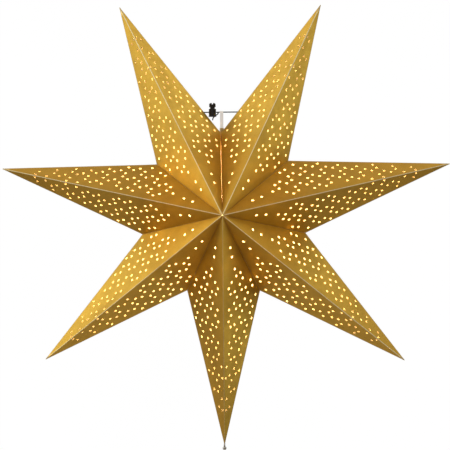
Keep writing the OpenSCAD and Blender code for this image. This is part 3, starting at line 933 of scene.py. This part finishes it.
def point_skin(form, index, flats):
    """The folded skin of one point, in its own frame and in millimetres."""
    skin = Skin()
    front, back, flap = flats
    plane, w = form.plane, form.round
    cos_a, sin_a = math.cos(form.half_sector), math.sin(form.half_sector)
    seam_out = {s: Vector((-sin_a, 0, cos_a * s)) for s in (-1, 1)}
    normals = {
        (s, d): Vector((plane.x, d * plane.y, s * plane.z)) for s in (-1, 1) for d in (-1, 1)
    }
    sways = {
        "tip": TIP_SWAY[index], 1: NOTCH_SWAY[index], -1: NOTCH_SWAY[(index + 1) % len(POINTS)],
    }
    stand = axis_angle(form, index)
    cos_s, sin_s = math.cos(stand), math.sin(stand)

    def local(sway):
        """A shift across and up the star, in the point's frame."""
        return Vector((sway[0] * cos_s + sway[1] * sin_s, 0, sway[0] * -sin_s + sway[1] * cos_s))

    def shut(sharp, s, along_valley, weight):
        """How far the open seam's edge is pulled shut beside the apex."""
        if (index, s) not in OPEN_SEAM_SIDES:
            return Vector()
        still = (SEAM_OPEN_FROM - along_valley) / (SEAM_OPEN_FROM - SEAM_SHUT_TO)
        outward = Vector((cos_a, 0, sin_a * s))
        pull = sharp.dot(outward) * math.radians(form.seam) / 2 + SEAM_LAP
        return seam_out[s] * pull * max(0.0, min(1.0, still)) * weight

    apex2, tip2, corner2 = facet_lines(form)
    for (s, d), n in normals.items():
        apex = Vector((0, d * form.half, 0))
        tip = Vector((form.tip, 0, 0))
        corner = Vector((form.notch_x, 0, s * form.notch_z))
        along = (tip - apex).normalized()
        over = corner - apex
        over = (over - along * over.dot(along)).normalized()
        fold_in = (corner2 - tip2).normalized()
        fold_in = over * -fold_in.x + along * fold_in.y
        valley_in = along * (corner2.y / form.valley) - over * (corner2.x / form.valley)
        folds = (
            (normals[(-s, d)], over, RIDGE_WEAR_AND_HIGHLIGHT[index] if d < 0 else BACK_WEAR_AND_HIGHLIGHT),
            (normals[(s, -d)], fold_in, EDGE_WEAR_AND_HIGHLIGHT), (seam_out[s], valley_in, VALLEY_WEAR_AND_HIGHLIGHT),
        )
        apex_sway = local(APEX_SWAY) if d < 0 else Vector()
        tip_sway, corner_sway = local(sways["tip"]), local(sways[s])
        flat, faces = front if d < 0 else back
        verts = []
        for p in flat:
            sharp = apex + along * p.x + over * p.y
            gaps = (p.y, line_distance(p, tip2, corner2), line_distance(p, corner2, apex2))
            ends = (
                min(p.x, form.ridge - p.x) / RIDGE_END,
                min((p - tip2).length, (p - corner2).length) / EDGE_END,
                min(p.length - form.flap_start, (p - corner2).length) / EDGE_END,
            )
            outer, inner, wear = sharp.copy(), sharp - n * form.card, 0.0
            for gap, end, (other, inward, worn_and_lit) in zip(gaps, ends, folds):
                gap = max(gap, 0.0)
                sink, close, fade = fold_shifts(form, gap, end, n, other, inward)
                outer, inner = outer + sink, inner + close
                # A pale band along each fold: worn coating plus a painted highlight
                if gap < INNER_FOLD * w:
                    pale = min(1.0, 2 * (INNER_FOLD - gap / w))
                    wear = max(wear, worn_and_lit * pale * min(1.0, 0.4 + fade))
            if inner.z * s < 0:
                inner.z = 0.0
            if inner.y * d < 0:
                inner.y = 0.0
            k = p.y / corner2.y
            t = (p.x - k * corner2.x) / form.ridge
            sway = apex_sway * (1 - k - t) + tip_sway * t + corner_sway * k
            mask = min(1.0, max(0.0, min(gaps)) / BOW_FADE)
            mask = mask * mask * (3 - 2 * mask)
            seed = Vector((31.7 * index + 7.3 * s, 13.1 * d, 4.7 * index))
            wave = sum(noise.noise(sharp * f + seed) * size for f, size in BOW_WAVES)
            shift = n * form.bow * wave * mask
            shift += shut(sharp, s, p.length, max(0.0, 1 - max(0.0, gaps[2]) / 4.0))
            verts.append((sharp, outer + shift, inner + shift, sway, wear))
        skin.add(verts, faces, n)
    for s in (-1, 1):
        open_side = (index, s) in OPEN_SEAM_SIDES
        for d in (-1, 1):
            n = seam_out[s]
            apex = Vector((0, d * form.half, 0))
            corner = Vector((form.notch_x, 0, s * form.notch_z))
            outward = Vector((cos_a, 0, sin_a * s))
            along = (corner - apex).normalized()
            inward = outward * -form.half + Vector((0, -d * form.notch, 0))
            inward /= math.hypot(form.half, form.notch)
            facet_n = normals[(s, d)]
            apex_sway = local(APEX_SWAY) if d < 0 else Vector()
            corner_sway = local(sways[s])
            verts = []
            for p in flap[0]:
                sharp = apex + along * p.x + inward * p.y
                gap = p.y
                end = min(p.x - form.flap_start, abs(p.x - form.valley)) / EDGE_END
                sink, close, _ = fold_shifts(form, gap, end, n, facet_n, inward)
                pull = shut(sharp, s, p.x, 1.0)
                outer, inner = sharp + sink + pull, sharp - n * form.card + close + pull
                far = sharp.dot(outward)
                if open_side:
                    lean = n * s * far * math.radians(form.seam) * FLAP_LEAN * gap / form.flap
                    outer, inner = outer + lean, inner + lean
                sway = apex_sway * (abs(sharp.y) / form.half) + corner_sway * (far / form.notch)
                verts.append((sharp, outer, inner, sway, 0.0))
            skin.add(verts, flap[1], n)
    return skin


def build_point(form, index, flats, centre, materials):
    """One folded point as an object in the row frame."""
    name = POINTS[index]
    skin = point_skin(form, index, flats)
    a = axis_angle(form, index)
    basis = Matrix(((math.cos(a), 0, -math.sin(a)), (0, 1, 0), (math.sin(a), 0, math.cos(a))))
    outer, inner = (
        [basis @ (p / c + v / c) * MM + centre for p, v, c in zip(side, skin.sway, skin.count)]
        for side in (skin.outer, skin.inner)
    )
    n = len(outer)
    faces = [*skin.triangles, *((c + n, b + n, a_ + n) for a_, b, c in skin.triangles)]
    rim = [(b, a_, a_ + n, b + n) for a_, b in skin.rim()]
    kinds = [0] * len(skin.triangles) + [1] * len(skin.triangles) + [2] * len(rim)
    obj = tidy_mesh("card_" + name, outer + inner, faces + rim, materials, kinds)
    # The folds' pale band for the gold finish: worn coating plus a painted highlight
    wear = obj.data.attributes.new("fold_wear", "FLOAT", "POINT")
    wear.data.foreach_set("value", [*skin.wear, *([0.0] * n)])
    return obj


class LANTERN_OT_points(bpy.types.Operator):
    """Fold and punch the seven card points"""

    bl_idname = "lantern.points"
    bl_label = "Card Points"

    def execute(self, context):
        card = context.scene.lantern_card
        cords = context.scene.lantern_cord
        lamp = context.scene.lantern_lamp
        form = star_form(card)
        centre = star_centre(form)
        materials = [gold_card_finish(card), card_inside_finish(card), card_edge_finish(card)]
        holes = hole_places(form)
        flap = flat_flap(form)
        flats, necked = (
            (flat_facet(form, trim, holes), flat_facet(form, trim, []), flap)
            for trim in (form.tip_trim, form.neck_trim)
        )
        strand = cords.cord + cords.strand_gap
        strap_y = cords.cord / 2 + cords.strand_gap + lamp.strap_thickness + STRAP_CLEAR
        strap_x = lamp.strap_width / 2 + STRAP_CLEAR
        notch_z = centre.z + form.notch * MM
        cut_low = notch_z - (strap_y - centre.y + 0.012) * form.notch / form.half - 0.0025
        for index, name in enumerate(POINTS):
            sheets = necked if name == "bottom" else flats
            obj = build_point(form, index, sheets, centre, materials)
            if name in ("upper_right", "upper_left"):
                side = 1 if name == "upper_right" else -1
                y = 0.0 if side > 0 else strand
                near, far = ((side * x, y, 0) for x in CORD_HOLE_SPAN)
                hole = rod(near, far, cords.cord / 2 + CORD_CLEAR)
                notch = block((-strap_x, -strap_y, cut_low), (strap_x, strap_y, notch_z + 0.004))
                cut_away(obj, [hole, notch])
            finish_piece(obj, STAR_BODY, "gold_card", "point_" + name)
        return {"FINISHED"}


# Drawstring

# The left cord's free end in millimetres, from the lock's right side
FREE_END = (
    (0.0, 0.0, 0.0), (1.0, 0.0, 0.0), (2.0, 0.6, -0.3), (2.4, 2.0, -1.1), (1.6, 3.7, -2.2),
    (-0.2, 5.0, -3.4), (-2.2, 5.6, -4.9), (-3.8, 5.6, -6.8), (-4.4, 5.4, -9.2),
)
KNOT_SIZE, KNOT_STEPS = 0.0034, 90
STRANDS, BRAID_PITCH = 8, 0.0022
ROUTE_STEP = 0.00016


def braid(turn, distance):
    """Raised diamonds of a braid of eight strands."""
    k = 2 * math.pi * distance / BRAID_PITCH * 2
    half = STRANDS / 2
    return 0.955 + 0.045 * math.sin(half * turn + k) * math.sin(half * turn - k)


def knot_line(centre, size, thick):
    """A tight overhand knot."""
    scale = (size / 2 - thick / 2) / 3.0
    line = []
    for i in range(KNOT_STEPS):
        t = 2 * math.pi * i / KNOT_STEPS
        y, z = math.sin(t) + 2 * math.sin(2 * t), math.cos(t) - 2 * math.cos(2 * t)
        line.append(Vector(centre) + Vector((-math.sin(3 * t) * 1.6, y, z)) * scale)
    return line


class LANTERN_OT_drawstring(bpy.types.Operator):
    """Braid the two halves of the drawstring, with a knot inside each top point"""

    bl_idname = "lantern.drawstring"
    bl_label = "Drawstring"

    def execute(self, context):
        cords = context.scene.lantern_cord
        finish = cord_finish(cords)
        thick = cords.cord
        strand = thick + cords.strand_gap
        low_r, high_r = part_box("drawstring_right")
        low_l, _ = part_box("drawstring_left")
        right_knot = Vector((high_r.x - KNOT_SIZE / 2, 0, 0))
        left_knot = Vector((low_l.x + KNOT_SIZE * 0.475, strand, 0))
        lock_side = -cords.lock_offset + cords.barrel / 2
        tail = [Vector((lock_side, strand, 0)) + Vector(p) * MM for p in FREE_END]
        routes = {
            "right": (right_knot, [right_knot, Vector((low_r.x + thick * 0.2, 0, 0))]),
            "left": (left_knot, [left_knot, *tail]),
        }
        for name, (knot_place, route) in routes.items():
            if name == "right":
                route = [route[0], (route[0] + route[1]) / 2, route[1]]
            line = smooth_route(route, ROUTE_STEP)
            cord = tube("cord_" + name, line, thick / 2, 24, finish, relief=braid)
            path = line[:: max(1, len(line) // 60)]
            if path[-1] != line[-1]:
                path.append(line[-1])
            finish_piece(cord, STAR_BODY, "black_cord", "drawstring_" + name)
            lump = knot_line(knot_place, KNOT_SIZE, thick * 0.8)
            knot = tube("knot_" + name, [*lump, lump[0]], thick * 0.4, 16, finish, ends=False)
            finish_piece(knot, STAR_BODY, "black_cord")
        return {"FINISHED"}


# Cord lock

PLUNGER_TRAVEL, HEAD_HEIGHT, LOCK_FLOOR = 0.0016, 0.0052, 0.0008
SLOT_WIDTH, SLOT_DEPTH = 0.0016, 0.0018
WIRE, COIL_RADIUS, COIL_TURNS = 0.0003, 0.0021, 3


class LANTERN_OT_cord_lock(bpy.types.Operator):
    """Mould the cord lock's barrel and plunger, and wind the spring between them"""

    bl_idname = "lantern.cord_lock"
    bl_label = "Cord Lock"

    def execute(self, context):
        cords = context.scene.lantern_cord
        strand = cords.cord + cords.strand_gap
        centre = Vector((-cords.lock_offset, strand / 2, 0))
        low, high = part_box("cord_lock_barrel")
        head_low, head_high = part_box("cord_lock_plunger")
        floor_top = low.z + LOCK_FLOOR
        bore = cords.stem / 2 + 0.00008
        foot = (high.x - low.x) / 2
        barrel_r, stem_r, head_r = cords.barrel / 2, cords.stem / 2, cords.head / 2
        plastic = plain_finish(
            "black_plastic", tuple(cords.black), 0.3, grain=2500.0, spread=0.3, Coat_Weight=0.2
        )
        profile = [
            (0, low.z), (foot, low.z), (foot, low.z + 0.001), (barrel_r, low.z + 0.0013),
            (barrel_r, high.z), (bore, high.z), (bore, floor_top), (0, floor_top),
        ]
        profile = rounded(profile, {1, 2, 4, 5}, 0.0004)
        barrel = tidy_mesh("cord_lock_body", *turned(profile, centre, 64), [plastic])
        half_h = cords.cord / 2 + CORD_CLEAR
        half_w = strand / 2 + half_h
        reach = foot + 0.001

        def passage(rise):
            """A cutter for both strands, with room above them."""
            low = centre + Vector((-reach, -half_w, -half_h))
            return block(low, centre + Vector((reach, half_w, half_h + rise)))

        cut_away(barrel, [passage(0)])
        finish_piece(barrel, STAR_BODY, "black_plastic", "cord_lock_barrel")
        head_z = head_high.z - HEAD_HEIGHT
        profile = [
            (0, head_low.z), (stem_r, head_low.z), (stem_r, head_z), (head_r, head_z),
            (head_r, head_high.z - 0.0013), (head_r - 0.0013, head_high.z), (0, head_high.z),
        ]
        profile = rounded(profile, {1, 3, 4, 5}, 0.0006)
        plunger = tidy_mesh("cord_lock_button", *turned(profile, centre, 64), [plastic])
        middle = Vector((centre.x, centre.y, head_high.z))
        slot = block(
            middle + Vector((-SLOT_WIDTH / 2, -0.006, -SLOT_DEPTH)),
            middle + Vector((SLOT_WIDTH / 2, 0.006, 0.001)),
        )
        cut_away(plunger, [passage(PLUNGER_TRAVEL), slot])
        finish_piece(plunger, PLUNGER_BODY, "black_plastic", "cord_lock_plunger")
        steel = plain_finish("spring_wire", (0.55, 0.55, 0.56), 0.28, grain=4000.0, metallic=1.0)
        start, rise = floor_top + WIRE / 2, head_low.z - floor_top - WIRE
        steps = 40 * COIL_TURNS
        coil = []
        for i in range(steps + 1):
            t = 2 * math.pi * COIL_TURNS * i / steps
            x, y = COIL_RADIUS * math.cos(t), COIL_RADIUS * math.sin(t)
            coil.append(centre + Vector((x, y, start + rise * i / steps)))
        spring = tube("cord_lock_coil", coil, WIRE / 2, 12, steel)
        finish_piece(spring, STAR_BODY, "spring_steel", "cord_lock_spring")
        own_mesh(spring)
        return {"FINISHED"}


# Lamp

# The globe's collar, and the depth and the mesh rows of its base's thread
COLLAR_RADIUS, THREAD_DEPTH, THREAD_ROWS = 0.008, 0.00035, 64
STRAP_STEPS = 24


class LANTERN_OT_strap(bpy.types.Operator):
    """Weave the strap that the lamp hangs from"""

    bl_idname = "lantern.strap"
    bl_label = "Lamp Strap"

    def execute(self, context):
        lamp = context.scene.lantern_lamp
        low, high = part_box("lamp_strap")
        half_t, half_w = lamp.strap_thickness / 2, lamp.strap_width / 2
        radius = (high.y - low.y) / 2 - half_t
        top, bottom = high.z - half_t - radius, low.z + half_t + radius
        side = [top + (bottom - top) * k / STRAP_STEPS for k in range(1, STRAP_STEPS)]
        line = arc((0, top), radius, 0, math.pi, 14) + [(-radius, z) for z in side]
        line += arc((0, bottom), radius, math.pi, math.pi, 14)
        line += [(radius, z) for z in reversed(side)]
        corner = half_t * 0.7
        section = []
        for k, (x, y) in enumerate(((1, 1), (-1, 1), (-1, -1), (1, -1))):
            middle = (x * (half_w - corner), y * (half_t - corner))
            section += arc(middle, corner, math.pi / 2 * k, math.pi / 2, 3)
        verts, faces, count, n = [], [], len(section), len(line)
        for i, (y, z) in enumerate(line):
            before, after = line[i - 1], line[(i + 1) % n]
            along = Vector((after[0] - before[0], after[1] - before[1])).normalized()
            normal = Vector((along.y, -along.x))
            for across, rise in section:
                verts.append((across, y + normal.x * rise, z + normal.y * rise))
        for i in range(n):
            for k in range(count):
                a, b = i * count, ((i + 1) % n) * count
                j = (k + 1) % count
                faces.append((a + k, a + j, b + j, b + k))
        strap = tidy_mesh("tape_loop", verts, faces, [strap_finish()], sharp_deg=50)
        finish_piece(strap, STAR_BODY, "white_strap", "lamp_strap")
        return {"FINISHED"}


class LANTERN_OT_lampholder(bpy.types.Operator):
    """Give the lampholder's plastic and brass their finishes"""

    bl_idname = "lantern.lampholder"
    bl_label = "Lampholder"

    def execute(self, context):
        white = plain_finish("white_moulding", (0.86, 0.85, 0.82), 0.38, grain=1200.0, spread=0.03)
        block_stuff = plain_finish("contact_block_moulding", (0.72, 0.69, 0.62), 0.6, grain=1500.0)
        brass = plain_finish("pressed_brass", (0.80, 0.60, 0.25), 0.3, grain=1800.0, metallic=1.0)
        for node, material in (
            ("lampholder_cap", white), ("lampholder_sleeve", white),
            ("contact_block", block_stuff), ("screw_shell", brass), ("centre_contact", brass),
        ):
            recoat(node, material)
        return {"FINISHED"}


class LANTERN_OT_bulb(bpy.types.Operator):
    """Blow the opal globe and roll its screw base"""

    bl_idname = "lantern.bulb"
    bl_label = "Bulb"

    def execute(self, context):
        lamp = context.scene.lantern_lamp
        low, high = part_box("bulb")
        globe_r, base_r = lamp.globe / 2, lamp.base / 2
        collar_r, depth = COLLAR_RADIUS, THREAD_DEPTH
        globe_z = low.z + globe_r
        collar_z = high.z - lamp.base_height
        reach = Vector((collar_r, collar_z - globe_z))
        tangent = math.atan2(reach.y, reach.x) - math.acos(globe_r / reach.length)
        profile = arc((0, globe_z), globe_r, -math.pi / 2, math.pi / 2 + tangent, 40)
        profile[0] = (0.0, low.z)
        last = profile[-1]
        for k in range(1, 6):
            t = k / 6
            r, z = last[0] + (collar_r - last[0]) * t, last[1] + (collar_z - last[1]) * t
            profile.append((r, z))
        profile += [(collar_r, collar_z - 0.0006), (collar_r - 0.0006, collar_z), (0.0, collar_z)]
        shape = turned(profile, (0, 0, 0), 72)
        globe = tidy_mesh("opal_globe", *shape, [opal_finish(lamp)], sharp_deg=50)
        finish_piece(globe, STAR_BODY, "opal_bulb", "bulb")
        profile = [(0.0, collar_z), (base_r - 0.0001, collar_z)]
        shell_top = high.z - 0.0022
        for i in range(THREAD_ROWS + 1):
            profile.append((base_r - depth, collar_z + (shell_top - collar_z) * i / THREAD_ROWS))
        profile += [(base_r * 0.72, high.z - 0.0012), (0.0035, high.z - 0.0008)]
        profile += [(0.0033, high.z - 0.0003), (0.0022, high.z), (0.0, high.z)]

        def thread(turn, height, radius):
            """The rolled thread, which runs out at both ends of the shell."""
            inside = min(height - collar_z, shell_top - height) / 0.0012
            if abs(radius - (base_r - depth)) > 1e-9 or inside <= 0:
                return 0.0
            wave = math.cos(2 * math.pi * height / lamp.thread_pitch - turn)
            return depth * wave * min(1.0, inside)

        metal = plain_finish("nickel_base", (0.62, 0.60, 0.56), 0.26, grain=1500.0, metallic=1.0)
        shape = turned(profile, (0, 0, 0), 64, thread)
        base = tidy_mesh("bulb_base", *shape, [metal], sharp_deg=40)
        finish_piece(base, STAR_BODY, "opal_bulb")
        return {"FINISHED"}


class LANTERN_OT_finial(bpy.types.Operator):
    """Turn the metal bead under the bottom tip"""

    bl_idname = "lantern.finial"
    bl_label = "Tip Finial"

    def execute(self, context):
        low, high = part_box("tip_finial")
        centre = ((low.x + high.x) / 2, (low.y + high.y) / 2, 0.0)
        ball_r, neck_r = (high.x - low.x) / 2, 0.001
        ball_z = low.z + ball_r
        start = math.asin(neck_r / ball_r)
        profile = arc((0, ball_z), ball_r, -math.pi / 2, math.pi - start, 28)
        profile[0] = (0.0, low.z)
        profile += [(neck_r, profile[-1][1] + 0.0004), (neck_r, high.z - 0.0003)]
        profile += [(neck_r - 0.0002, high.z), (0.0, high.z)]
        steel = plain_finish("turned_steel", (0.50, 0.49, 0.46), 0.24, grain=1500.0, metallic=1.0)
        bead = tidy_mesh("bead", *turned(profile, centre, 48), [steel], sharp_deg=45)
        finish_piece(bead, STAR_BODY, "steel", "tip_finial")
        recoat("tip_pin", steel)
        return {"FINISHED"}


OPERATORS = (
    LANTERN_OT_stage,
    LANTERN_OT_drawstring,
    LANTERN_OT_points,
    LANTERN_OT_cord_lock,
    LANTERN_OT_strap,
    LANTERN_OT_lampholder,
    LANTERN_OT_bulb,
    LANTERN_OT_finial,
)
SETTINGS = {
    "lantern_card": CardSettings,
    "lantern_cord": CordSettings,
    "lantern_lamp": LampSettings,
    "lantern_stage": StageSettings,
}


class LANTERN_PT_panel(bpy.types.Panel):
    """Lists what the lantern is built from"""

    bl_label = "Paper Star Lantern"
    bl_space_type = "VIEW_3D"
    bl_region_type = "UI"
    bl_category = "Lantern"

    def draw(self, context):
        for operator in OPERATORS:
            self.layout.operator(operator.bl_idname)
        for name, group in SETTINGS.items():
            box = self.layout.box()
            for prop in group.__annotations__:
                box.prop(getattr(context.scene, name), prop)


def register():
    for group in SETTINGS.values():
        bpy.utils.register_class(group)
    for name, group in SETTINGS.items():
        setattr(bpy.types.Scene, name, PointerProperty(type=group))
    for cls in (*OPERATORS, LANTERN_PT_panel):
        bpy.utils.register_class(cls)


def unregister():
    for cls in reversed((*OPERATORS, LANTERN_PT_panel)):
        bpy.utils.unregister_class(cls)
    for name in SETTINGS:
        delattr(bpy.types.Scene, name)
    for group in reversed(SETTINGS.values()):
        bpy.utils.unregister_class(group)


def main():
    register()
    for operator in OPERATORS:
        module, name = operator.bl_idname.split(".")
        getattr(getattr(bpy.ops, module), name)()


if __name__ == "__main__":
    main()
